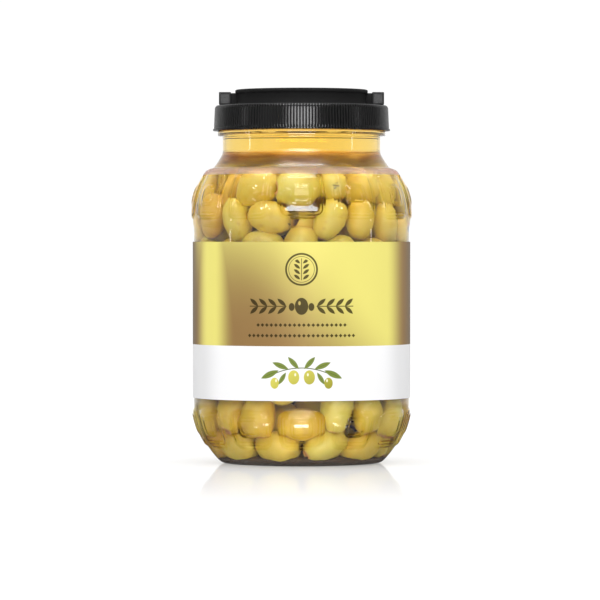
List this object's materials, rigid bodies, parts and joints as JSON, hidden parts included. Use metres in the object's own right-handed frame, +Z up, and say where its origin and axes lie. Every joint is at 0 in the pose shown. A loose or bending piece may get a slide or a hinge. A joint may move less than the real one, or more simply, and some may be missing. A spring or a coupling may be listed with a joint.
{
  "type": "jar of olives",
  "caption": "Large clear jar of pitted green olives with a ribbed black screw lid, a folding carry handle and a wrap-round label.",
  "frame": {"origin": "centre of the base, on the jar's axis, at the level it stands on", "axes": "+Z up along the jar's axis, -Y towards the front of the label, +X to the right seen from the front"},
  "size_m": [0.1446, 0.1446, 0.244],
  "materials": {
    "clear_plastic": "clear blown plastic, gloss",
    "lid_plastic": "black moulded plastic, satin, fine upright ribs",
    "handle_plastic": "black moulded plastic, satin",
    "label_film": "printed film, metallic gold above and gloss white below",
    "olive_flesh": "smooth wet skin, yellow green"
  },
  "bodies": {
    "jar": {"jar": "clear_plastic", "lid": "lid_plastic", "label": "label_film", "olives": "olive_flesh"},
    "handle": {"handle": "handle_plastic"}
  },
  "joints": [
    {"name": "handle_swing", "type": "hinge", "parent": "jar", "child": "handle", "pos_m": [0, 0, 0.2384], "axis": [1, 0, 0], "range_deg": [0, 180]}
  ]
}
